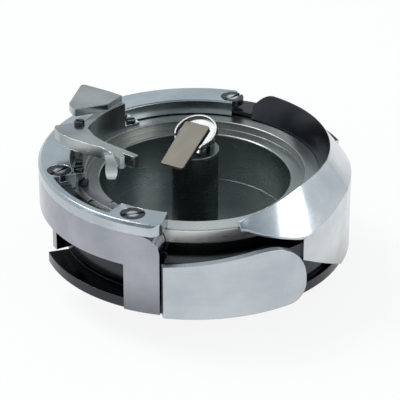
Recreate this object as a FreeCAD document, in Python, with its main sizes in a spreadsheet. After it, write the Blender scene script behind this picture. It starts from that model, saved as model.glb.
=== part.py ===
import FreeCAD, Part
import math
import os
import re
import Sketcher
from FreeCAD import Placement, Rotation, Vector

# A vertical-axis rotary hook for a sewing machine, with its open bobbin case inside.
# Origin: centre of the shaft bore at the hub's lower face.  +Z runs up the hook's axis.
# Angles are in degrees, counter-clockwise from +X seen from above; lengths are in millimetres.

DRIVING_SIZES = {
    # hook body
    "hub_radius": 7.5, "hub_length": 5.0, "shaft_radius": 4.0, "set_screw_radius": 1.6,
    "flange_radius": 21.0, "flange_top": 6.4, "foot_radius": 17.5,
    "core_radius": 18.6, "bowl_radius": 15.2, "ring_radius": 21.4, "wall_root": 18.2,
    "race_radius": 17.8, "race_floor": 13.6, "split_height": 16.45, "band_bottom": 11.7,
    "front_wall_radius": 21.1, "front_wall_top": 12.9, "right_wall_bottom": 5.3,
    "lip_bottom": 16.0, "lip_radius": 17.0, "crest_radius": 18.4, "crest_height": 19.8,
    "bevel_bottom": 15.8, "blade_root": 18.5, "recess_radius": 20.3, "pillar_corner": 2.7,
    "end_tab_start": 205.5, "end_tab_bottom": 8.8,
    # angles round the hook
    "flange_start": 198.0, "band_start": 20.0, "pillar_start": 244.0, "pillar_end": 257.5,
    "right_wall_start": 312.0, "blade_start": 345.0, "blade_end": 412.0, "tail_end": 422.0,
    "blade_tip": 289.0,
    # gib ring and its fasteners
    "gib_top": 18.1, "gib_start": 72.0, "gib_end": 258.0, "gib_chamfer": 0.4,
    "relief_start": 200.0, "relief_end": 236.0, "relief_radius": 20.2,
    "screw_ring": 18.9, "head_radius": 1.6, "head_height": 0.9, "shank_radius": 0.8,
    "shank_length": 3.4, "slot_width": 0.45, "slot_depth": 0.45, "dowel_radius": 0.75,
    # needle guard
    "guard_inner": 21.2, "guard_outer": 22.1, "guard_half_width": 9.8, "guard_low_top": 12.6,
    "guard_high_top": 14.0, "guard_corner": 6.0, "guard_foot_corner": 2.4,
    "guard_foot_inner": 17.3, "guard_foot_top": 5.8,
    # bobbin case
    "cup_radius": 13.1, "cup_outer": 14.7, "cup_bottom": 6.7, "cup_floor": 7.6,
    "ledge_height": 14.7, "step_radius": 15.0, "rib_radius": 17.6, "rib_bottom": 13.8,
    "rib_top": 15.85, "post_radius": 3.2, "post_top": 19.0, "collar_radius": 3.35,
    "collar_height": 0.5, "post_bore": 1.0, "post_bore_top": 12.6,
    # horn, finger and tension parts
    "horn_inner": 15.3, "horn_outer": 16.4, "horn_start": 130.0, "horn_end": 183.0,
    "horn_foot_start": 121.0, "horn_foot_end": 190.0, "horn_foot_top": 16.5,
    "horn_foot_outer": 16.6, "horn_top": 20.1, "horn_plate": 1.0, "finger_thickness": 1.7,
    "tab_centre": -11.1, "tab_half_depth": 0.35,
    "rim_screw_ring": 15.9, "small_head_radius": 0.72, "small_head_height": 0.5,
    "small_shank_radius": 0.45, "small_shank_length": 1.6, "running_gap": 0.05,
    "spring_start": 196.0, "spring_end": 238.0, "spring_thickness": 0.3,
    "tension_screw_angle": 199.0, "anchor_screw_angle": 234.0,
    # latch, in its own frame: X along the tongue, Z out of its top face, pin at the origin
    "pin_height": 20.75, "pin_reach": -1.8, "pin_radius": 0.3, "ear_radius": 0.56,
    "ear_inner": 0.95, "ear_outer": 1.75, "dish_radius": 3.0, "dish_centre": 1.2,
    "neck_half_width": 2.1, "neck_end": 4.4, "plate_bottom": 0.64, "plate_thickness": 0.35,
    "rim_height": 0.75, "rim_thickness": 0.3, "tongue_start": -0.1, "tongue_end": 7.7,
    "tongue_left": 2.25, "tongue_right": 1.6, "tongue_taper": 0.18, "latch_heading": 240.0,
    "latch_tilt": 25.0,
}
GIB_SCREW_ANGLES = (73.4, 132.0, 195.0, 244.6)
GIB_DOWEL_ANGLES = (102.0, 163.0)
GUARD_SCREW_ANGLES = (278.0, 294.0)
HORN_SCREW_ANGLES = (125.0, 187.0)
FINGER_SCREW_ANGLE = 174.0
SET_SCREW_TURNS = (0.0, 90.0)

doc = FreeCAD.newDocument("rotary_hook")
sheet = doc.addObject("Spreadsheet::Sheet", "Sizes")
for row, (name, value) in enumerate(DRIVING_SIZES.items(), start=1):
    sheet.set(f"A{row}", name)
    sheet.set(f"B{row}", str(value))
    sheet.setAlias(f"B{row}", name)
doc.recompute()


# ---------------------------------------------------------------- helpers

def bound(text):
    """Turn sheet names in a formula into the sheet's own references."""
    return re.sub(r"[a-z]\w*", lambda found: "Sizes." + found.group(), str(text))


def size(text):
    """Value of a formula of sheet names, in millimetres or degrees."""
    value = sheet.evalExpression(bound(text))
    return float(getattr(value, "Value", value))


def body(label):
    made = doc.addObject("PartDesign::Body", label)
    made.Label = label
    return made


def sketch(owner, name, plane, turn=0.0, offset="0"):
    """Sketch on an origin plane: turned about the vertical axis, or moved along its normal."""
    made = owner.newObject("Sketcher::SketchObject", name)
    found = [item for item in owner.Origin.OriginFeatures if item.Role == plane]
    made.AttachmentSupport = [(found[0], "")]
    made.MapMode = "FlatFace"
    if plane == "XY_Plane":
        made.AttachmentOffset = Placement(Vector(), Rotation(Vector(0, 0, 1), turn))
        made.setExpression(".AttachmentOffset.Base.z", bound(offset))
    else:
        made.AttachmentOffset = Placement(Vector(), Rotation(Vector(0, 1, 0), turn))
        made.setExpression(".AttachmentOffset.Base.x", f"({bound(offset)}) * sin({turn} deg)")
        made.setExpression(".AttachmentOffset.Base.z", f"({bound(offset)}) * cos({turn} deg)")
    return made


def outline(target, corners):
    """Closed outline of straight sides; each corner is a pair of formulas bound to the sheet."""
    points = [Vector(size(across), size(up), 0) for across, up in corners]
    first = target.GeometryCount
    count = len(points)
    for index, point in enumerate(points):
        target.addGeometry(Part.LineSegment(point, points[(index + 1) % count]), False)
    for index in range(count):
        following = first + (index + 1) % count
        target.addConstraint(Sketcher.Constraint("Coincident", first + index, 2, following, 1))
    for index, (across, up) in enumerate(corners):
        for kind, value, formula in (("DistanceX", points[index].x, across),
                                     ("DistanceY", points[index].y, up)):
            place = target.addConstraint(Sketcher.Constraint(kind, first + index, 1, value))
            target.setExpression(f"Constraints[{place}]", bound(formula))


def circle(target, radius, reach=0.0, angle=0.0):
    """Circle at a distance from the axis; its radius is bound to the sheet."""
    centre = Vector(size(reach), 0, 0)
    centre = Rotation(Vector(0, 0, 1), angle).multVec(centre)
    geometry = target.addGeometry(Part.Circle(centre, Vector(0, 0, 1), size(radius)), False)
    place = target.addConstraint(Sketcher.Constraint("Radius", geometry, size(radius)))
    target.setExpression(f"Constraints[{place}]", bound(radius))
    target.addConstraint(Sketcher.Constraint("DistanceX", geometry, 3, centre.x))
    target.addConstraint(Sketcher.Constraint("DistanceY", geometry, 3, centre.y))


def turned(owner, name, corners, start="0", end="360", cut=False):
    """Ring or ring sector with the given (radius, height) outline, from start to end degrees."""
    profile = sketch(owner, name + "_profile", "XZ_Plane", size(start))
    outline(profile, corners)
    kind = "PartDesign::Groove" if cut else "PartDesign::Revolution"
    feature = owner.newObject(kind, name)
    feature.Profile = profile
    feature.ReferenceAxis = (profile, ["V_Axis"])
    feature.setExpression("Angle", bound(f"({end}) - ({start})"))
    doc.recompute()
    owner.Tip = feature
    return feature


def block(low_radius, high_radius, low, high):
    """Corners of a rectangular ring section."""
    return [(low_radius, low), (high_radius, low), (high_radius, high), (low_radius, high)]


def raised(owner, name, profile, height, cut=False, downward=False):
    """Pad of a sketch upward (or downward), or a pocket that goes down from it."""
    feature = owner.newObject("PartDesign::Pocket" if cut else "PartDesign::Pad", name)
    feature.Profile = profile
    feature.setExpression("Length", bound(height))
    feature.Reversed = downward
    doc.recompute()
    owner.Tip = feature
    return feature


def drilled(owner, name, top, depth, radius, reach, angles):
    """Round holes straight down from a height."""
    profile = sketch(owner, name + "_profile", "XY_Plane", offset=top)
    for angle in angles:
        circle(profile, radius, reach, angle)
    return raised(owner, name, profile, depth, cut=True)


def softened(owner, name, length, chosen, kind="Fillet"):
    """Round or bevel the edges of the current tip that the test picks."""
    base = owner.Tip
    names = [f"Edge{index}" for index, edge in enumerate(base.Shape.Edges, start=1) if chosen(edge)]
    if not names:
        raise RuntimeError(f"{name}: no edge to soften")
    feature = owner.newObject("PartDesign::" + kind, name)
    feature.Base = (base, names)
    feature.setExpression("Radius" if kind == "Fillet" else "Size", bound(length))
    doc.recompute()
    owner.Tip = feature
    return feature


def is_upright(edge):
    """Straight edge that runs along Z."""
    if not isinstance(edge.Curve, Part.Line):
        return False
    return abs(abs(edge.tangentAt(edge.FirstParameter).z) - 1) < 0.001


def heading(edge):
    """Angle of an edge's middle point round the axis, 0 to 360."""
    middle = edge.BoundBox.Center
    return math.degrees(math.atan2(middle.y, middle.x)) % 360


def on_ring(radius, angle, height):
    """Point at a radius, angle and height."""
    turn = math.radians(angle)
    return Vector(radius * math.cos(turn), radius * math.sin(turn), height)


def slotted_screws(label, angles, reach, under_head, head_radius, head_height,
                   shank_radius, shank_length):
    """Cheese-head screws that stand on a ring, all pointing down, one slot across each head."""
    screws = body(label)
    heads = sketch(screws, label + "_head_profile", "XY_Plane", offset=under_head)
    shanks = sketch(screws, label + "_shank_profile", "XY_Plane", offset=under_head)
    slots = sketch(screws, label + "_slot_profile", "XY_Plane", offset=f"{under_head} + {head_height}")
    for angle in angles:
        circle(heads, head_radius, reach, angle)
        circle(shanks, shank_radius, reach, angle)
        slot_across(slots, head_radius, reach, angle)
    raised(screws, label + "_heads", heads, head_height)
    raised(screws, label + "_shanks", shanks, shank_length, downward=True)
    raised(screws, label + "_slots", slots, "slot_depth", cut=True)
    return screws


def slot_across(target, head_radius, reach, angle):
    """Slot outline across a screw head, turned a little differently on each screw."""
    centre = on_ring(size(reach), angle, 0)
    turn = Rotation(Vector(0, 0, 1), 3 * angle)
    long_side = 1.3 * size(head_radius)
    short_side = size("slot_width") / 2
    corners = [(-long_side, -short_side), (long_side, -short_side),
               (long_side, short_side), (-long_side, short_side)]
    points = [centre + turn.multVec(Vector(x, y, 0)) for x, y in corners]
    outline(target, [(f"{point.x:.4f}", f"{point.y:.4f}") for point in points])


# ---------------------------------------------------------------- hook body

def make_turned_hook():
    """Hub, flange, bowl, race and outer walls of the hook, all turned about the axis."""
    hook = body("turned_hook")
    turned(hook, "hook_core", [
        ("shaft_radius", "0"), ("hub_radius", "0"), ("hub_radius", "hub_length"),
        ("foot_radius", "hub_length"), ("core_radius", "flange_top + 1"),
        ("core_radius", "split_height"), ("race_radius", "split_height"),
        ("race_radius", "race_floor"), ("bowl_radius", "race_floor"),
        ("bowl_radius", "flange_top"), ("shaft_radius", "flange_top")])
    turned(hook, "front_slit",
           block("bowl_radius - 1", "flange_radius + 2", "front_wall_top", "split_height + 1"),
           "pillar_end", "right_wall_start", cut=True)
    turned(hook, "outer_band", block("wall_root", "ring_radius", "band_bottom", "split_height"),
           "band_start", "pillar_end")
    turned(hook, "pillar", block("wall_root", "ring_radius", "hub_length", "band_bottom + 1"),
           "pillar_start", "pillar_end")
    softened(hook, "pillar_round", "pillar_corner", lambda edge: isinstance(edge.Curve, Part.Line)
             and abs(edge.BoundBox.Center.z - size("split_height")) < 0.01
             and abs(heading(edge) - size("pillar_end")) < 0.1)
    turned(hook, "end_tab", block("wall_root", "ring_radius - 0.2", "end_tab_bottom", "band_bottom + 0.5"),
           "end_tab_start", "end_tab_start + 3")
    turned(hook, "right_wall", block("wall_root", "ring_radius", "right_wall_bottom", "bevel_bottom"),
           "blade_start", "380")
    turned(hook, "wall_under_blade", block("wall_root", "ring_radius", "right_wall_bottom", "race_floor"),
           "right_wall_start", "blade_start")
    cut_slant(hook)
    turned(hook, "recessed_block", block("wall_root", "recess_radius", "hub_length", "race_floor - 0.5"),
           "right_wall_start", "blade_start")
    turned(hook, "flange", block("foot_radius - 1.5", "flange_radius", "hub_length", "flange_top"),
           "flange_start", "340")
    turned(hook, "front_wall", block("wall_root", "front_wall_radius", "hub_length", "front_wall_top"),
           "pillar_end + 1.5", "right_wall_start + 1")
    turned(hook, "window_slot", block("core_radius - 0.8", "ring_radius + 1", "flange_top", "band_bottom"),
           "pillar_start - 1.6", "pillar_start", cut=True)
    turned(hook, "blade", [
        ("lip_radius", "lip_bottom"), ("crest_radius", "crest_height"),
        ("ring_radius", "bevel_bottom"), ("ring_radius", "bevel_bottom - 2"),
        ("blade_root", "bevel_bottom - 2"), ("blade_root", "lip_bottom")],
        "blade_start", "blade_end")
    turned(hook, "guard_seat",
           block("guard_foot_inner", "ring_radius", "hub_length - 0.2", "guard_foot_top"),
           "272", "300", cut=True)
    drilled(hook, "gib_screw_holes", "split_height", "shank_length", "shank_radius + 0.02",
            "screw_ring", GIB_SCREW_ANGLES)
    drilled(hook, "gib_dowel_holes", "split_height", "3", "dowel_radius", "screw_ring", GIB_DOWEL_ANGLES)
    drilled(hook, "guard_screw_holes", "guard_foot_top + 3", "4", "shank_radius + 0.02",
            "blade_root", GUARD_SCREW_ANGLES)
    drill_set_screws(hook)
    return hook


def cut_slant(hook):
    """Clear the foot of the right wall below a slanting edge that falls toward the rear."""
    face = sketch(hook, "slant_profile", "XZ_Plane", turn=52.0, offset="recess_radius - 1.1")
    outline(face, [("-4.6", "hub_length - 1"), ("6.5", "hub_length - 1"), ("6.5", "hub_length"),
                   ("-4.6", "hub_length + 5.9")])
    raised(hook, "slant", face, "6", cut=True, downward=True)


def round_hole(target, radius, across, up):
    """Circle on an upright sketch, with its radius and height bound to the sheet."""
    centre = Vector(size(across), size(up), 0)
    hole = target.addGeometry(Part.Circle(centre, Vector(0, 0, 1), size(radius)), False)
    for kind, place, value, formula in (("Radius", (), size(radius), radius),
                                        ("DistanceX", (3,), centre.x, across),
                                        ("DistanceY", (3,), centre.y, up)):
        number = target.addConstraint(Sketcher.Constraint(kind, hole, *place, value))
        target.setExpression(f"Constraints[{number}]", bound(formula))


def drill_set_screws(hook):
    """Two radial holes in the hub, a quarter turn apart."""
    for number, turn in enumerate(SET_SCREW_TURNS):
        face = sketch(hook, f"set_screw_hole_profile_{number}", "XZ_Plane", turn)
        round_hole(face, "set_screw_radius", "0", "hub_length / 2")
        raised(hook, f"set_screw_hole_{number}", face, "hub_radius + 1", cut=True, downward=True)


def ease(start, end, value):
    """Smooth rise from 0 to 1 between start and end."""
    part = min(1.0, max(0.0, (value - start) / (end - start)))
    return part * part * (3 - 2 * part)


def blade_section(progress, angle):
    """Section of the blade: progress runs from 0 at its root to 1 at its point."""
    drop = max(0.0, (progress - 0.4) / 0.6) ** 1.2
    narrowing = ease(0.5, 1.15, progress)
    lip_radius = size("lip_radius")
    lip = size("lip_bottom")
    crest = (size("crest_radius") - 0.8 * drop, size("crest_height") - 3.2 * drop)
    outer = size("ring_radius") + 0.04 - 3.5 * narrowing
    bevel = size("bevel_bottom") - 2.0 * ease(0, 0.6, progress) + 2.3 * narrowing
    under = min(bevel - 0.35, size("race_floor") + 2.6 * ease(0.5, 1.0, progress) - 0.3)
    inner = size("blade_root") - 0.65 * ease(0.5, 0.8, progress)
    corners = [(lip_radius, lip), crest, (outer, bevel), (outer, under), (inner, under), (inner, lip)]
    points = [on_ring(radius, angle, height) for radius, height in corners]
    return Part.makePolygon(points + points[:1])


def make_blade_point():
    """Blade from its root to its sharp point, lofted through evenly spaced sections."""
    start = size("blade_start")
    span = size("blade_tip") - start
    steps = 9
    sections = [blade_section(step / steps, start + span * step / steps) for step in range(steps + 1)]
    feature = doc.addObject("Part::Feature", "blade_point")
    feature.Shape = Part.makeLoft(sections, True, False)
    return feature


def tail_section(progress):
    """Section of the blade's rear end, whose crest sinks as it closes."""
    sink = progress ** 2
    start = size("blade_end")
    angle = start + (size("tail_end") - start) * progress
    ring = size("ring_radius")
    corners = [(size("lip_radius"), size("lip_bottom")),
               (size("crest_radius") - 0.5 * sink, size("crest_height") - 2.0 * sink),
               (ring - 0.5 * sink, size("bevel_bottom")), (ring - 0.5 * sink, size("bevel_bottom") - 2),
               (size("blade_root"), size("bevel_bottom") - 2), (size("blade_root"), size("lip_bottom"))]
    points = [on_ring(radius, angle, height) for radius, height in corners]
    return Part.makePolygon(points + points[:1])


def make_blade_tail():
    feature = doc.addObject("Part::Feature", "blade_tail")
    feature.Shape = Part.makeLoft([tail_section(step / 4) for step in range(5)], True, False)
    return feature


def make_hook_body():
    """The one machined steel piece: turned hook, blade point and blade tail."""
    fused = doc.addObject("Part::MultiFuse", "hook_body")
    fused.Shapes = [make_turned_hook(), make_blade_point(), make_blade_tail()]
    fused.Label = "hook_body"
    return fused


def make_hub_set_screws():
    """Two headless screws with hexagonal sockets, just clear of the shaft."""
    screws = body("hub_set_screws")
    hexagon = [on_ring(0.75, 60 * side, 0) for side in range(6)]
    for number, turn in enumerate(SET_SCREW_TURNS):
        face = sketch(screws, f"set_screw_profile_{number}", "XZ_Plane", turn, "shaft_radius + 0.2")
        round_hole(face, "set_screw_radius - 0.02", "0", "hub_length / 2")
        raised(screws, f"set_screw_{number}", face, "hub_radius - shaft_radius - 0.6")
        tool = sketch(screws, f"socket_profile_{number}", "XZ_Plane", turn, "hub_radius - 0.4")
        outline(tool, [(f"{corner.x:.4f}", f"{corner.y:.4f} + hub_length / 2") for corner in hexagon])
        raised(screws, f"socket_{number}", tool, "1.2", cut=True)
    return screws


# ---------------------------------------------------------------- gib and guard

def make_gib_ring():
    gib = body("gib_ring")
    spigot = "race_radius - 0.1"
    turned(gib, "gib_section", [
        ("lip_radius", "lip_bottom"), (spigot, "lip_bottom"), (spigot, "split_height"),
        ("ring_radius", "split_height"), ("ring_radius", "gib_top - gib_chamfer"),
        ("ring_radius - gib_chamfer", "gib_top"), ("lip_radius + 0.15", "gib_top"),
        ("lip_radius", "gib_top - 0.15")], "gib_start", "gib_end")
    turned(gib, "relief", block("lip_radius - 0.5", "relief_radius", "lip_bottom - 1", "gib_top + 1"),
           "relief_start", "relief_end", cut=True)
    softened(gib, "gib_ends", "1.5", lambda edge: is_upright(edge) and (
        heading(edge) > 257 or heading(edge) < 73) and math.hypot(
        edge.BoundBox.Center.x, edge.BoundBox.Center.y) > 20)
    drilled(gib, "gib_counterbores", "gib_top", "head_height + 0.05", "head_radius + 0.06",
            "screw_ring", GIB_SCREW_ANGLES)
    drilled(gib, "gib_clearance_holes", "gib_top", "5", "shank_radius + 0.02",
            "screw_ring", GIB_SCREW_ANGLES)
    drilled(gib, "gib_dowel_sockets", "split_height + 0.9", "2", "dowel_radius", "screw_ring",
            GIB_DOWEL_ANGLES)
    return gib


def make_gib_dowels():
    dowels = body("gib_dowels")
    profile = sketch(dowels, "dowel_profile", "XY_Plane", offset="split_height - 3")
    for angle in GIB_DOWEL_ANGLES:
        circle(profile, "dowel_radius", "screw_ring", angle)
    raised(dowels, "dowel_pins", profile, "3.9")
    return dowels


def make_needle_guard():
    """Curved plate in front of the front wall, standing on a foot let into the flange."""
    guard = body("needle_guard")
    face = sketch(guard, "guard_profile", "XZ_Plane", turn=15.5, offset="guard_inner - 2.5")
    outline(face, [("-guard_half_width", "hub_length"), ("guard_half_width", "hub_length"),
                   ("guard_half_width", "guard_high_top"), ("guard_half_width - 7.5", "guard_high_top"),
                   ("-guard_half_width", "guard_low_top")])
    raised(guard, "guard_block", face, "5")
    softened(guard, "guard_round", "guard_corner", lambda edge: heading(edge) > 305
             and abs(edge.Length - 5) < 0.01 and edge.BoundBox.Center.z > size("guard_high_top") - 0.1)
    softened(guard, "guard_foot_round", "guard_foot_corner", lambda edge: heading(edge) > 305
             and abs(edge.Length - 5) < 0.01 and edge.BoundBox.Center.z < size("hub_length") + 0.1)
    turned(guard, "guard_inside",
           block("1", "guard_inner", "hub_length - 1", "guard_high_top + 1"), cut=True)
    turned(guard, "guard_outside",
           block("guard_outer", "guard_outer + 8", "hub_length - 1", "guard_high_top + 1"), cut=True)
    turned(guard, "guard_foot",
           block("guard_foot_inner", "guard_inner + 0.3", "hub_length", "guard_foot_top"),
           "272.5", "299.5")
    holes = sketch(guard, "guard_hole_profile", "XY_Plane", offset="guard_foot_top")
    for angle in GUARD_SCREW_ANGLES:
        circle(holes, "shank_radius + 0.02", "blade_root", angle)
    raised(guard, "guard_holes", holes, "2", cut=True)
    return guard


def make_guard_screws():
    """Thin-head screws that come up through the guard's foot into the front wall."""
    screws = body("guard_screws")
    shanks = sketch(screws, "guard_shank_profile", "XY_Plane", offset="hub_length")
    heads = sketch(screws, "guard_head_profile", "XY_Plane", offset="hub_length")
    for angle in GUARD_SCREW_ANGLES:
        circle(shanks, "shank_radius", "blade_root", angle)
        circle(heads, "head_radius - 0.1", "blade_root", angle)
    raised(screws, "guard_shanks", shanks, "3.6")
    raised(screws, "guard_heads", heads, "head_height", downward=True)
    slots = sketch(screws, "guard_slot_profile", "XY_Plane", offset="hub_length - head_height + slot_depth")
    for angle in GUARD_SCREW_ANGLES:
        slot_across(slots, "head_radius", "blade_root", angle)
    raised(screws, "guard_slots", slots, "slot_depth + 0.2", cut=True)
    return screws


# ---------------------------------------------------------------- bobbin case

def make_case_cup():
    cup = body("case_cup")
    turned(cup, "cup_section", [
        ("small_shank_radius * 2 + 0.02", "cup_bottom"), ("cup_outer - 0.5", "cup_bottom"),
        ("cup_outer", "cup_bottom + 0.5"), ("cup_outer", "rib_bottom"), ("rib_radius - 0.15", "rib_bottom"),
        ("rib_radius", "rib_bottom + 0.15"), ("rib_radius", "rib_top - 0.15"),
        ("rib_radius - 0.15", "rib_top"), ("step_radius + 0.1", "rib_top"),
        ("step_radius", "rib_top - 0.1"), ("step_radius", "ledge_height"),
        ("cup_radius + 0.15", "ledge_height"), ("cup_radius", "ledge_height - 0.15"),
        ("cup_radius", "cup_floor"), ("small_shank_radius * 2 + 0.02", "cup_floor")])
    turned(cup, "thread_slit", block("cup_radius - 1", "rib_radius + 1", "cup_floor + 4.5", "rib_top + 1"),
           "213", "214.6", cut=True)
    drilled(cup, "horn_screw_holes", "rib_top + 0.5", "2", "small_shank_radius + 0.02",
            "rim_screw_ring", HORN_SCREW_ANGLES)
    drilled(cup, "tension_hole", "rib_top + 0.5", "2.2", "small_shank_radius + running_gap",
            "rim_screw_ring", (size("tension_screw_angle"),))
    drilled(cup, "anchor_hole", "rib_top + 0.5", "2", "small_shank_radius + 0.02",
            "rim_screw_ring", (size("anchor_screw_angle"),))
    drilled(cup, "brake_hole", "cup_floor + 0.5", "1.1", "small_shank_radius", "10.5", (270.0,))
    return cup


def make_centre_post():
    """Post with a collar, and two ears at the rear of its top that carry the latch pin."""
    post = body("centre_post")
    turned(post, "post_section", [
        ("post_bore", "cup_floor"), ("post_radius", "cup_floor"),
        ("post_radius", "post_top - collar_height"), ("collar_radius - 0.1", "post_top - collar_height"),
        ("collar_radius", "post_top - collar_height + 0.1"), ("collar_radius", "post_top - 0.12"),
        ("collar_radius - 0.12", "post_top"), ("0", "post_top"), ("0", "post_bore_top"),
        ("post_bore", "post_bore_top")])
    heading_turn = size("latch_heading")
    ears = sketch(post, "ear_profile", "XY_Plane", turn=heading_turn, offset="post_top - 0.5")
    for low, high in (("ear_inner", "ear_outer"), ("-ear_outer", "-ear_inner")):
        outline(ears, block("pin_reach - ear_radius", "pin_reach + ear_radius", low, high))
    raised(post, "ears", ears, "pin_height + ear_radius - post_top + 0.5")
    across = Rotation(Vector(0, 0, 1), heading_turn).multVec(Vector(0, 1, 0))
    softened(post, "ear_rounds", "ear_radius - 0.02", lambda edge: isinstance(edge.Curve, Part.Line)
             and edge.BoundBox.Center.z > size("pin_height")
             and abs(edge.tangentAt(edge.FirstParameter).dot(across)) > 0.999)
    bore = sketch(post, "pin_bore_profile", "XZ_Plane", turn=heading_turn)
    round_hole(bore, "pin_radius", "pin_reach", "pin_height")
    cut = raised(post, "pin_bore", bore, "ear_outer * 4", cut=True)
    cut.Midplane = True
    doc.recompute()
    return post


def make_post_screw():
    """Screw that pulls the post onto the floor from below; its head fills the floor's hole."""
    screw = body("post_screw")
    turned(screw, "post_screw_section",
           block("0", "small_shank_radius * 2", "cup_bottom", "post_bore_top - 1"))
    slots = sketch(screw, "post_screw_slot_profile", "XY_Plane", offset="cup_bottom + slot_depth")
    slot_across(slots, "small_shank_radius * 2", "0", 0)
    raised(screw, "post_screw_slot", slots, "slot_depth + 0.1", cut=True)
    return screw


def make_case_horn():
    """Upright wall on the rim, its screwed foot, and the rear horn plate that reaches outward."""
    horn = body("case_horn")
    turned(horn, "horn_wall", block("horn_inner", "horn_outer", "rib_top", "horn_top"),
           "horn_start", "horn_end")
    turned(horn, "horn_foot", block("horn_inner", "horn_foot_outer", "rib_top", "horn_foot_top"),
           "horn_foot_start", "horn_foot_end")
    plate = sketch(horn, "horn_plate_profile", "XY_Plane", offset="horn_top - 0.1")
    outline(plate, [("-10.3", "12.2"), ("-12.2", "9.4"), ("-16.9", "7.6"), ("-17.6", "9.6"),
                    ("-16.1", "16.1"), ("-12.0", "13.5")])
    raised(horn, "horn_plate", plate, "horn_plate + 0.1")
    softened(horn, "horn_plate_corners", "0.5", lambda edge: is_upright(edge)
             and edge.BoundBox.Center.z > size("horn_top") and edge.BoundBox.Center.x < -15)
    drilled(horn, "horn_foot_holes", "horn_foot_top", "2", "small_shank_radius + 0.02",
            "rim_screw_ring", HORN_SCREW_ANGLES)
    drilled(horn, "finger_hole", "horn_top + 0.2", "2.2", "small_shank_radius - 0.1 + 0.02",
            "horn_outer - 0.55", (FINGER_SCREW_ANGLE,))
    return horn


def make_thread_finger():
    """Front horn: a flat arm on the wall that ends in a small fork, with a tab bent down beside it."""
    finger = body("thread_finger")
    arm = sketch(finger, "arm_profile", "XY_Plane", offset="horn_top")
    outline(arm, [("-19.0", "1.2"), ("-15.3", "2.6"), ("-14.5", "0.2"), ("-13.6", "-1.9"),
                  ("-12.2", "-3.7"), ("-10.8", "-4.9"), ("-9.3", "-6.1"), ("-7.5", "-7.7"),
                  ("-8.1", "-8.3"), ("-9.6", "-7.1"), ("-9.3", "-8.2"), ("-10.0", "-8.6"),
                  ("-11.1", "-6.9"), ("-12.5", "-5.4"), ("-14.6", "-4.2"), ("-16.8", "-2.7"),
                  ("-18.3", "-1.1"), ("-19.1", "0.6")])
    raised(finger, "arm", arm, "finger_thickness")
    softened(finger, "arm_corners", "0.15", lambda edge: is_upright(edge)
             and edge.BoundBox.Center.x < -18.9)
    drilled(finger, "arm_hole", "horn_top + finger_thickness", "3", "small_shank_radius - 0.1 + 0.02",
            "horn_outer - 0.55", (FINGER_SCREW_ANGLE,))
    levels = ((1.6, -6.9, 1.0), (0.2, -7.9, 0.8), (-0.7, -8.5, 0.75), (-1.3, -8.7, 0.5))
    sections = []
    for step, (drop, depth, half_width) in enumerate(levels):
        section = sketch(finger, f"tab_profile_{step}", "XY_Plane", offset=f"horn_top + {drop}")
        outline(section, block(f"tab_centre - {half_width}", f"tab_centre + {half_width}",
                               f"{depth} - tab_half_depth", f"{depth} + tab_half_depth"))
        sections.append(section)
    tab = finger.newObject("PartDesign::AdditiveLoft", "tab")
    tab.Profile = sections[0]
    tab.Sections = sections[1:]
    doc.recompute()
    finger.Tip = tab
    return finger


def make_tension_spring():
    spring = body("tension_spring")
    turned(spring, "leaf", block("horn_inner", "horn_foot_outer", "rib_top", "rib_top + spring_thickness"),
           "spring_start", "spring_end")
    softened(spring, "leaf_ends", "0.5", is_upright)
    drilled(spring, "leaf_tension_hole", "rib_top + spring_thickness", "1",
            "small_shank_radius + running_gap", "rim_screw_ring", (size("tension_screw_angle"),))
    drilled(spring, "leaf_anchor_hole", "rib_top + spring_thickness", "1", "small_shank_radius + 0.02",
            "rim_screw_ring", (size("anchor_screw_angle"),))
    return spring


def make_brake_spring():
    """Bowed leaf under the bobbin, riveted to the floor at one end."""
    spring = body("brake_spring")
    turned(spring, "brake_leaf", block("9.4", "11.6", "cup_floor", "cup_floor + 0.25"), "262", "350")
    softened(spring, "brake_ends", "0.9", is_upright)
    drilled(spring, "brake_leaf_hole", "cup_floor + 0.25", "1", "small_shank_radius", "10.5", (270.0,))
    return spring


# ---------------------------------------------------------------- latch

def latch_placement():
    """Pin position and the latch's tilt when it lies on the bobbin."""
    turn = Rotation(Vector(0, 0, 1), size("latch_heading"))
    tilt = Rotation(Vector(0, 1, 0), size("latch_tilt"))
    pin = turn.multVec(Vector(size("pin_reach"), 0, 0)) + Vector(0, 0, size("pin_height"))
    return Placement(pin, turn.multiply(tilt))


def keyhole(inset, low, high):
    """Solid of the latch's keyhole outline, drawn in by an inset, between two heights."""
    radius = size("dish_radius") - inset
    half_width = size("neck_half_width") - inset
    centre = size("dish_centre")
    join = centre + math.sqrt(radius ** 2 - half_width ** 2)
    head = Part.makeCylinder(radius, high - low, Vector(centre, 0, low))
    neck = Part.makeBox(size("neck_end") - join + 1.0, 2 * half_width, high - low,
                        Vector(join - 1.0, -half_width, low))
    joined = head.fuse(neck).removeSplitter()
    corners = [edge for edge in joined.Edges if is_upright(edge) and edge.BoundBox.Center.x < join + 0.1
               and abs(edge.BoundBox.Center.y) > half_width - 0.01]
    return joined.makeFillet(0.8, corners) if corners else joined


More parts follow.
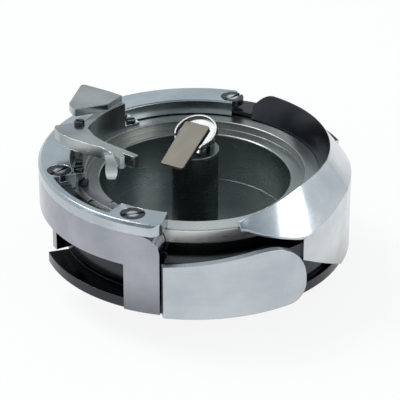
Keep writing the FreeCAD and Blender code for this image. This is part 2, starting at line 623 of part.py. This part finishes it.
def make_latch_lever():
    """Keyhole-shaped dish with a raised rim, open where the tongue leaves, and its pivot lug."""
    low = size("plate_bottom")
    floor = low + size("plate_thickness")
    rim = low + size("rim_height")
    dish = keyhole(0.0, low, rim).cut(keyhole(size("rim_thickness"), floor, rim + 1))
    front = Part.makeBox(3, 10, 3, Vector(size("neck_end") - 0.6, -5, floor))
    left_side = Part.makeBox(6, 4, 3, Vector(size("dish_centre") + 1.2, -4.6, floor))
    lug_width = 2 * (size("ear_inner") - 0.55)
    lug_radius = size("ear_radius") + 0.1
    lug = Part.makeCylinder(lug_radius, lug_width, Vector(0, -lug_width / 2, 0), Vector(0, 1, 0))
    web = Part.makeBox(2 * lug_radius, lug_width, low + 0.1, Vector(-lug_radius, -lug_width / 2, 0))
    bore = Part.makeCylinder(size("pin_radius") + size("running_gap"), 4, Vector(0, -2, 0), Vector(0, 1, 0))
    lever = doc.addObject("Part::Feature", "latch_lever")
    lever.Label = "latch_lever"
    lever.Shape = dish.cut([front, left_side]).fuse([lug, web]).cut(bore).removeSplitter()
    lever.Placement = latch_placement()
    return lever


def make_latch_plate():
    """Flat tongue that lies in the dish, a little to one side, and reaches out over the bobbin."""
    plate = body("latch_plate")
    face = sketch(plate, "tongue_profile", "XY_Plane", offset="plate_bottom + plate_thickness")
    outline(face, [("tongue_start", "-tongue_left"), ("tongue_end", "tongue_taper - tongue_left"),
                   ("tongue_end", "tongue_right - tongue_taper"), ("tongue_start", "tongue_right")])
    raised(plate, "tongue", face, "plate_thickness")
    softened(plate, "tongue_corners", "0.35", is_upright)
    plate.Placement = latch_placement()
    return plate


def make_latch_pin():
    pin = doc.addObject("Part::Cylinder", "latch_pin")
    pin.Label = "latch_pin"
    pin.setExpression("Radius", bound("pin_radius"))
    pin.setExpression("Height", bound("2 * ear_outer"))
    end = Placement(Vector(0, size("ear_outer"), 0), Rotation(Vector(1, 0, 0), 90))
    pin.Placement = latch_placement().multiply(end)
    return pin


def make_latch_spring():
    """Wire coil round the pin, between the lug and one ear."""
    wire = 0.1
    gap = 0.02
    coil_radius = size("pin_radius") + wire + 0.04
    length = 0.55 - 2 * wire - 2 * gap
    coil = Part.makeHelix(length / 1.5, length, coil_radius)
    path = Part.Wire(coil.Edges)
    section = Part.Wire(Part.Circle(Vector(coil_radius, 0, 0), Vector(0, 1, 0), wire).toShape())
    spring = doc.addObject("Part::Feature", "latch_spring")
    spring.Label = "latch_spring"
    spring.Shape = path.makePipeShell([section], True, True)
    start = Vector(0, size("ear_inner") - 0.55 + wire + gap, 0)
    spring.Placement = latch_placement().multiply(Placement(start, Rotation(Vector(1, 0, 0), -90)))
    return spring


# ---------------------------------------------------------------- assembly

def build():
    parts = [
        make_hook_body(), make_hub_set_screws(), make_gib_ring(), make_gib_dowels(),
        make_needle_guard(), make_guard_screws(),
        slotted_screws("gib_screws", GIB_SCREW_ANGLES, "screw_ring", "gib_top - head_height - 0.05",
                       "head_radius", "head_height", "shank_radius", "shank_length + 0.5"),
        make_case_cup(), make_centre_post(), make_post_screw(), make_case_horn(), make_thread_finger(),
        slotted_screws("horn_screws", HORN_SCREW_ANGLES, "rim_screw_ring", "horn_foot_top",
                       "small_head_radius - 0.02", "small_head_height", "small_shank_radius",
                       "small_shank_length"),
        slotted_screws("finger_screw", (FINGER_SCREW_ANGLE,), "horn_outer - 0.55",
                       "horn_top + finger_thickness", "small_head_radius", "small_head_height",
                       "small_shank_radius - 0.1", "finger_thickness + 1.5"),
        make_tension_spring(),
        slotted_screws("tension_screw", (size("tension_screw_angle"),), "rim_screw_ring",
                       "rib_top + spring_thickness + 0.05", "small_head_radius", "small_head_height + 0.15",
                       "small_shank_radius", "small_shank_length"),
        slotted_screws("tension_anchor_screw", (size("anchor_screw_angle"),), "rim_screw_ring",
                       "rib_top + spring_thickness", "small_head_radius", "small_head_height",
                       "small_shank_radius", "small_shank_length"),
        make_brake_spring(),
        slotted_screws("brake_screw", (270.0,), "10.5", "cup_floor + 0.25", "small_head_radius", "0.4",
                       "small_shank_radius", "0.8"),
        make_latch_lever(), make_latch_plate(), make_latch_pin(), make_latch_spring(),
    ]
    doc.recompute()
    return parts


def check_and_write(parts):
    failed = [item.Name for item in doc.Objects if {"Invalid", "Error"} & set(item.State)]
    if failed:
        raise RuntimeError(f"failed features: {failed}")
    for part in parts:
        if part.Shape.isNull() or not part.Shape.isValid():
            raise RuntimeError(f"{part.Label}: bad shape")
    os.makedirs("parts", exist_ok=True)
    for part in parts:
        part.Shape.exportStep(f"parts/{part.Label}.step")
        print(part.Label, len(part.Shape.Solids), round(part.Shape.Volume, 2))


check_and_write(build())
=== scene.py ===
import math

import bpy
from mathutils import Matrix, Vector

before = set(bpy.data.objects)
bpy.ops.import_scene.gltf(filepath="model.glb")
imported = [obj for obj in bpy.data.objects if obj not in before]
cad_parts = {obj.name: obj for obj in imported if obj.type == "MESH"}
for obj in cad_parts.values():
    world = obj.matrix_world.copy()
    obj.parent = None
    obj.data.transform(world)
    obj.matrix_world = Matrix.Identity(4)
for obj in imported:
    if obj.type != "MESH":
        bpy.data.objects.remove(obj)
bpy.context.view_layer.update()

MM = 0.001
EDGE_ROUND = 0.16 * MM
SCREW_RING = 18.9 * MM
SCREW_TOP = 18.05 * MM
GIB_SCREW_ANGLES = (73.4, 132.0, 195.0, 244.6)
CORE_REACH = 21.15 * MM
CORE_TOP = 13.0 * MM
GIB_SEAT_TOP = 16.6 * MM
HOOK_HEIGHT = 20.0 * MM
CUP_LEDGE = 14.6 * MM
RIM_INSIDE = 14.0 * MM
FLOOR_GLOW = 0.88
CAMERA_ELEVATION = math.radians(26.98)
CAMERA_DISTANCE = 300.0 * MM
CAMERA_HEIGHT = 18.1 * MM
CAMERA_AIM_RIGHT = 0.68 * MM
CAMERA_AIM_DOWN = 6.34 * MM


# ---------------------------------------------------------------- node helpers

def new_material(name):
    """Empty node material with one Principled shader; returns material, nodes, links and shader."""
    material = bpy.data.materials.new(name)
    material.use_nodes = True
    nodes = material.node_tree.nodes
    links = material.node_tree.links
    shader = nodes["Principled BSDF"]
    return material, nodes, links, shader


def math_node(nodes, links, operation, first, second=None):
    """Math node fed by sockets or numbers; returns its output."""
    node = nodes.new("ShaderNodeMath")
    node.operation = operation
    for index, value in enumerate((first, second)):
        if value is None:
            continue
        if isinstance(value, (int, float)):
            node.inputs[index].default_value = value
        else:
            links.new(value, node.inputs[index])
    return node.outputs[0]


def turned_place(nodes, links):
    """Radius, height and angle of a surface point about the hook's axis."""
    place = nodes.new("ShaderNodeTexCoord")
    split = nodes.new("ShaderNodeSeparateXYZ")
    links.new(place.outputs["Object"], split.inputs[0])
    across, along, height = split.outputs
    squares = [math_node(nodes, links, "MULTIPLY", value, value) for value in (across, along)]
    radius = math_node(nodes, links, "SQRT", math_node(nodes, links, "ADD", *squares))
    angle = math_node(nodes, links, "ARCTAN2", along, across)
    return radius, height, angle


def share_of_turn(nodes, links, angle):
    """An angle as a share of a whole turn: 0 at the left, 0.25 at the front, 0.5 at the right."""
    turns = math_node(nodes, links, "MULTIPLY", angle, 0.5 / math.pi)
    return math_node(nodes, links, "ADD", turns, 0.5)


def turned_vector(nodes, links, across, around):
    """Coordinates that follow a lathe's tool marks: radius and height fine, angle coarse."""
    radius, height, angle = turned_place(nodes, links)
    merged = nodes.new("ShaderNodeCombineXYZ")
    for index, (value, scale) in enumerate(((radius, across), (height, across), (angle, around))):
        links.new(math_node(nodes, links, "MULTIPLY", value, scale), merged.inputs[index])
    return merged.outputs[0]


def straight_vector(nodes, links, scale):
    """Coordinates for ground or stamped pieces, stretched differently along each axis."""
    place = nodes.new("ShaderNodeTexCoord")
    mapping = nodes.new("ShaderNodeMapping")
    mapping.inputs["Scale"].default_value = scale
    links.new(place.outputs["Object"], mapping.inputs[0])
    return mapping.outputs[0]


def noise(nodes, links, vector, scale, detail=4.0, roughness=0.55):
    texture = nodes.new("ShaderNodeTexNoise")
    texture.inputs["Scale"].default_value = scale
    texture.inputs["Detail"].default_value = detail
    texture.inputs["Roughness"].default_value = roughness
    if vector is not None:
        links.new(vector, texture.inputs["Vector"])
    return texture.outputs["Fac"]


def ramp(nodes, links, source, stops):
    """Colour ramp; stops are (position, grey or colour)."""
    node = nodes.new("ShaderNodeValToRGB")
    elements = node.color_ramp.elements
    while len(elements) > 1:
        elements.remove(elements[-1])
    for index, (place, value) in enumerate(stops):
        colour = (value, value, value, 1) if isinstance(value, (int, float)) else (*value, 1)
        element = elements[0] if index == 0 else elements.new(place)
        element.position = place
        element.color = colour
    links.new(source, node.inputs[0])
    return node.outputs[0]


def mixed(nodes, links, factor, first, second, blend="MIX"):
    """Colour mix of two sockets or colours."""
    node = nodes.new("ShaderNodeMix")
    node.data_type = "RGBA"
    node.blend_type = blend
    for socket, value in ((node.inputs[0], factor), (node.inputs[6], first), (node.inputs[7], second)):
        if isinstance(value, (int, float)):
            socket.default_value = value
        elif isinstance(value, tuple):
            socket.default_value = (*value, 1)
        else:
            links.new(value, socket)
    return node.outputs[2]


def both(nodes, links, first, second):
    """1 where both masks are 1."""
    return math_node(nodes, links, "MULTIPLY", first, second)


def facing(nodes, links):
    """How far a face looks up, and how far it looks in towards the axis."""
    place = nodes.new("ShaderNodeTexCoord")
    split = nodes.new("ShaderNodeSeparateXYZ")
    links.new(place.outputs["Normal"], split.inputs[0])
    flat = nodes.new("ShaderNodeVectorMath")
    flat.operation = "MULTIPLY"
    flat.inputs[1].default_value = (-1, -1, 0)
    links.new(place.outputs["Object"], flat.inputs[0])
    towards = nodes.new("ShaderNodeVectorMath")
    towards.operation = "NORMALIZE"
    links.new(flat.outputs[0], towards.inputs[0])
    product = nodes.new("ShaderNodeVectorMath")
    product.operation = "DOT_PRODUCT"
    links.new(towards.outputs[0], product.inputs[0])
    links.new(place.outputs["Normal"], product.inputs[1])
    return split.outputs[2], product.outputs["Value"]


# ---------------------------------------------------------------- materials

def metal(name, light, dark, rough, fine, turned=True, bump=0.02, smudge=0.5):
    """Steel with tool marks, soft cloudy tint, smudges that change its gloss, and eased edges.

    light and dark are the two colours the surface drifts between, rough is the pair of roughness
    limits, and fine is the number of tool marks per metre across the surface.
    """
    material, nodes, links, shader = new_material(name)
    if turned:
        marks = turned_vector(nodes, links, fine, 1.5)
    else:
        marks = straight_vector(nodes, links, (fine, fine * 0.04, fine))
    lines = noise(nodes, links, marks, 1.0, 3.0, 0.65)
    place = nodes.new("ShaderNodeTexCoord")
    clouds = noise(nodes, links, place.outputs["Object"], 140.0, 4.0, 0.55)
    smears = noise(nodes, links, place.outputs["Object"], 420.0, 5.0, 0.6)
    tint = ramp(nodes, links, clouds, [(0.32, dark), (0.68, light)])
    streaks = ramp(nodes, links, lines, [(0.3, 0.94), (0.7, 1.0)])
    colour = mixed(nodes, links, 1.0, tint, streaks, "MULTIPLY")
    links.new(colour, shader.inputs["Base Color"])
    gloss = math_node(nodes, links, "MULTIPLY", smears, smudge)
    line_share = math_node(nodes, links, "MULTIPLY", lines, 1 - smudge)
    gloss = math_node(nodes, links, "ADD", gloss, line_share)
    low, high = rough
    roughness = ramp(nodes, links, gloss, [(0.3, low), (0.7, high)])
    links.new(roughness, shader.inputs["Roughness"])
    shader.inputs["Metallic"].default_value = 1.0
    eased = nodes.new("ShaderNodeBevel")
    eased.samples = 6
    eased.inputs["Radius"].default_value = EDGE_ROUND
    dent = nodes.new("ShaderNodeBump")
    dent.inputs["Strength"].default_value = bump
    dent.inputs["Distance"].default_value = 0.00004
    links.new(lines, dent.inputs["Height"])
    links.new(eased.outputs[0], dent.inputs["Normal"])
    links.new(dent.outputs[0], shader.inputs["Normal"])
    return material


def recolour(material, change):
    """Pass the colour that feeds the shader through change(nodes, links, colour)."""
    nodes = material.node_tree.nodes
    links = material.node_tree.links
    socket = nodes["Principled BSDF"].inputs["Base Color"]
    colour = socket.links[0].from_socket
    links.new(change(nodes, links, colour), socket)


def blacken_hook_and_paint_light(nodes, links, colour):
    """Hook colour: blackened core and flange, near black painted shade on the slit, on faces
    looking in towards the axis and on upward faces under the gib seat; polished outer walls.

    The outer walls carry a painted reflection that drifts from a lilac grey at the gib's side
    to near white under the blade, and they darken towards the foot.
    """
    radius, height, angle = turned_place(nodes, links)
    up, inward = facing(nodes, links)
    turn = share_of_turn(nodes, links, angle)
    # Painted reflection: one steel all round, painted lilac grey at the gib's side and near white under
    # the blade.
    painted_reflection = ramp(nodes, links, turn, [(0.0, (0.62, 0.61, 0.64)), (0.215, (0.60, 0.59, 0.63)),
                                      (0.30, (0.80, 0.84, 0.88)), (0.38, (1.0, 1.0, 1.0)),
                                      (0.60, (0.95, 0.96, 0.97)), (1.0, (0.62, 0.61, 0.64))])
    colour = mixed(nodes, links, 1.0, colour, painted_reflection, "MULTIPLY")
    rise = math_node(nodes, links, "MULTIPLY", height, 1 / HOOK_HEIGHT)
    foot = ramp(nodes, links, rise, [(0.27, 0.55), (0.48, 1.0)])
    colour = mixed(nodes, links, 1.0, colour, foot, "MULTIPLY")
    # The low core and flange are blackened steel; faces looking in towards the axis and upward faces
    # under the gib seat get near black painted shade.
    low = math_node(nodes, links, "LESS_THAN", height, CORE_TOP)
    core = both(nodes, links, low, math_node(nodes, links, "LESS_THAN", radius, CORE_REACH))
    inner_painted_shade = math_node(nodes, links, "GREATER_THAN", inward, 0.25)
    below_gib = math_node(nodes, links, "LESS_THAN", height, GIB_SEAT_TOP)
    seat_painted_shade = both(nodes, links, below_gib, math_node(nodes, links, "GREATER_THAN", up, 0.9))
    black_and_painted_shade = math_node(nodes, links, "MAXIMUM", math_node(nodes, links, "MAXIMUM", core, inner_painted_shade), seat_painted_shade)
    return mixed(nodes, links, black_and_painted_shade, colour, (0.045, 0.05, 0.055))


def paint_rim_highlight(nodes, links, colour):
    """Case colour: turned rim with painted light, brightest at the front, above a dark grey-green cup.
    """
    radius, height, angle = turned_place(nodes, links)
    high = math_node(nodes, links, "GREATER_THAN", height, CUP_LEDGE)
    outside = math_node(nodes, links, "GREATER_THAN", radius, RIM_INSIDE)
    rim = math_node(nodes, links, "MAXIMUM", high, outside)
    turn = share_of_turn(nodes, links, angle)
    # Painted highlight at the front of the rim, and a little painted shade at the right rear.
    rim_highlight = ramp(nodes, links, turn, [(0.0, (0.36, 0.37, 0.35)), (0.16, (0.38, 0.39, 0.37)),
                                       (0.26, (0.80, 0.80, 0.77)), (0.36, (0.42, 0.43, 0.41)),
                                       (0.60, (0.30, 0.32, 0.31)), (1.0, (0.36, 0.37, 0.35))])
    return mixed(nodes, links, rim, colour, rim_highlight)


def paint_screw_highlights(nodes, links, colour):
    """Painted highlight: a bright spot at the middle of each gib screw's black head."""
    place = nodes.new("ShaderNodeTexCoord")
    nearest = None
    for angle in GIB_SCREW_ANGLES:
        turn = math.radians(angle)
        gap = nodes.new("ShaderNodeVectorMath")
        gap.operation = "DISTANCE"
        centre = (SCREW_RING * math.cos(turn), SCREW_RING * math.sin(turn), SCREW_TOP)
        gap.inputs[1].default_value = centre
        links.new(place.outputs["Object"], gap.inputs[0])
        distance = gap.outputs["Value"]
        nearest = distance if nearest is None else math_node(nodes, links, "MINIMUM", nearest, distance)
    spread = math_node(nodes, links, "MULTIPLY", nearest, 1 / (2 * MM))
    # Painted highlight, fading out from each screw's centre.
    screw_highlight = ramp(nodes, links, spread, [(0.26, 1.0), (0.46, 0.0)])
    return mixed(nodes, links, screw_highlight, colour, (0.75, 0.78, 0.80))


def make_materials():
    made = {
        "hook": metal("polished_hook_steel", (0.70, 0.73, 0.75), (0.52, 0.56, 0.59),
                      (0.14, 0.24), 5000, bump=0.008),
        "gib": metal("ground_gib_steel", (0.58, 0.63, 0.66), (0.44, 0.49, 0.52),
                     (0.16, 0.28), 6000, bump=0.01),
        "guard": metal("satin_guard_steel", (0.56, 0.60, 0.63), (0.44, 0.48, 0.52),
                       (0.28, 0.40), 5000, bump=0.01),
        "case": metal("dark_case_steel", (0.30, 0.33, 0.325), (0.23, 0.255, 0.25),
                      (0.24, 0.34), 5000, bump=0.006),
        "post": metal("dark_post_steel", (0.20, 0.225, 0.225), (0.15, 0.17, 0.17),
                      (0.22, 0.30), 5000, bump=0.006),
        "horn": metal("horn_steel", (0.50, 0.52, 0.51), (0.30, 0.33, 0.335),
                      (0.16, 0.28), 6000, turned=False, bump=0.01),
        "screw": metal("black_screw_steel", (0.10, 0.11, 0.12), (0.05, 0.055, 0.06),
                       (0.22, 0.36), 9000, turned=False),
        "gib_screw": metal("screw_steel_painted_highlight", (0.09, 0.10, 0.11), (0.045, 0.05, 0.055),
                           (0.2, 0.32), 9000, turned=False),
        "spring": metal("spring_steel", (0.33, 0.34, 0.36), (0.22, 0.23, 0.25),
                        (0.2, 0.35), 9000),
        # The latch gets a dark tone as painted shade for its dish.
        "latch": metal("latch_steel_with_painted_dish_shade", (0.24, 0.25, 0.245), (0.16, 0.17, 0.165),
                       (0.18, 0.28), 8000, turned=False),
        "tongue": metal("satin_tongue_steel", (0.125, 0.118, 0.10), (0.095, 0.09, 0.078),
                        (0.36, 0.48), 9000, turned=False),
    }
    recolour(made["hook"], blacken_hook_and_paint_light)
    recolour(made["case"], paint_rim_highlight)
    recolour(made["gib_screw"], paint_screw_highlights)
    return made


NODE_MATERIALS = {
    "hook_body": "hook", "hub_set_screws": "screw", "gib_ring": "gib", "gib_dowels": "screw",
    "gib_screws": "gib_screw", "needle_guard": "guard", "guard_screws": "screw", "case_cup": "case",
    "centre_post": "post", "post_screw": "screw", "case_horn": "horn", "horn_screws": "screw",
    "thread_finger": "horn", "finger_screw": "screw", "tension_spring": "spring",
    "tension_screw": "screw", "tension_anchor_screw": "screw", "brake_spring": "spring",
    "brake_screw": "screw", "latch_pin": "screw", "latch_lever": "latch", "latch_plate": "tongue",
    "latch_spring": "spring",
}


def dress_cad_nodes(materials):
    """Give every CAD node its material."""
    for node, key in NODE_MATERIALS.items():
        mesh_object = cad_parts[node]
        mesh_object.data.materials.clear()
        mesh_object.data.materials.append(materials[key])


# ---------------------------------------------------------------- studio

def make_floor():
    """Pale floor that glows a little where it is seen straight or mirrored, and keeps the shadow."""
    bpy.ops.mesh.primitive_plane_add(size=6.0, location=(0, 0, 0))
    floor = bpy.context.object
    floor.name = "studio_floor"
    material, nodes, links, shader = new_material("pale_floor")
    shader.inputs["Base Color"].default_value = (0.86, 0.87, 0.88, 1)
    shader.inputs["Roughness"].default_value = 0.9
    glow = nodes.new("ShaderNodeEmission")
    glow.inputs["Strength"].default_value = 1.0
    path = nodes.new("ShaderNodeLightPath")
    straight = path.outputs["Is Camera Ray"]
    mirrored = path.outputs["Is Glossy Ray"]
    seen = math_node(nodes, links, "MAXIMUM", straight, mirrored)
    share = math_node(nodes, links, "MULTIPLY", seen, FLOOR_GLOW)
    blend = nodes.new("ShaderNodeMixShader")
    links.new(share, blend.inputs[0])
    links.new(shader.outputs[0], blend.inputs[1])
    links.new(glow.outputs[0], blend.inputs[2])
    links.new(blend.outputs[0], nodes["Material Output"].inputs[0])
    floor.data.materials.append(material)


def make_world():
    """White to the camera; a soft studio room, pale below and greyer overhead, to everything else."""
    world = bpy.data.worlds.new("studio")
    bpy.context.scene.world = world
    world.use_nodes = True
    nodes = world.node_tree.nodes
    links = world.node_tree.links
    room = nodes["Background"]
    place = nodes.new("ShaderNodeTexCoord")
    split = nodes.new("ShaderNodeSeparateXYZ")
    links.new(place.outputs["Generated"], split.inputs[0])
    height = split.outputs[2]
    tone = ramp(nodes, links, height, [(0.0, (0.84, 0.86, 0.88)), (0.3, (0.82, 0.86, 0.90)),
                                       (0.50, (0.66, 0.72, 0.76)), (0.66, (0.34, 0.38, 0.42)),
                                       (0.82, (0.14, 0.16, 0.18)), (1.0, (0.40, 0.42, 0.44))])
    links.new(tone, room.inputs["Color"])
    room.inputs["Strength"].default_value = 0.95
    white = nodes.new("ShaderNodeBackground")
    white.inputs["Color"].default_value = (1, 1, 1, 1)
    path = nodes.new("ShaderNodeLightPath")
    blend = nodes.new("ShaderNodeMixShader")
    links.new(path.outputs["Is Camera Ray"], blend.inputs[0])
    links.new(room.outputs[0], blend.inputs[1])
    links.new(white.outputs[0], blend.inputs[2])
    links.new(blend.outputs[0], nodes["World Output"].inputs[0])


def area_light(name, place, aim, width, height, watts, colour=(1, 1, 1)):
    data = bpy.data.lights.new(name, "AREA")
    data.shape = "RECTANGLE"
    data.size = width
    data.size_y = height
    data.energy = watts
    data.color = colour
    lamp = bpy.data.objects.new(name, data)
    lamp.location = place
    lamp.rotation_euler = (Vector(aim) - Vector(place)).to_track_quat("-Z", "Y").to_euler()
    bpy.context.collection.objects.link(lamp)


def make_lights():
    area_light("key_softbox", (-0.25, 0.10, 0.42), (0, 0, 0.015), 0.25, 0.25, 1.6)
    area_light("right_softbox", (0.40, -0.22, 0.14), (0, 0, 0.01), 0.25, 0.3, 0.6)
    area_light("front_fill", (-0.10, -0.50, 0.34), (0, 0, 0.01), 0.5, 0.35, 0.3, (0.95, 0.97, 1.0))


def make_camera():
    """Long lens, 27 degrees above the horizon, looking along +Y."""
    back = Vector((0, -math.cos(CAMERA_ELEVATION), math.sin(CAMERA_ELEVATION)))
    up = Vector((0, math.sin(CAMERA_ELEVATION), math.cos(CAMERA_ELEVATION)))
    place = Vector((0, 0, CAMERA_HEIGHT)) + back * CAMERA_DISTANCE
    aim = Vector((CAMERA_AIM_RIGHT, 0, CAMERA_HEIGHT)) - up * CAMERA_AIM_DOWN
    data = bpy.data.cameras.new("photo_camera")
    data.sensor_width = 36.0
    data.lens = 197.6
    data.clip_start = 0.01
    camera = bpy.data.objects.new("photo_camera", data)
    camera.location = place
    camera.rotation_euler = (aim - place).to_track_quat("-Z", "Y").to_euler()
    bpy.context.collection.objects.link(camera)
    bpy.context.scene.camera = camera


materials = make_materials()
dress_cad_nodes(materials)
make_floor()
make_world()
make_lights()
make_camera()
bpy.context.scene.view_settings.view_transform = "Standard"
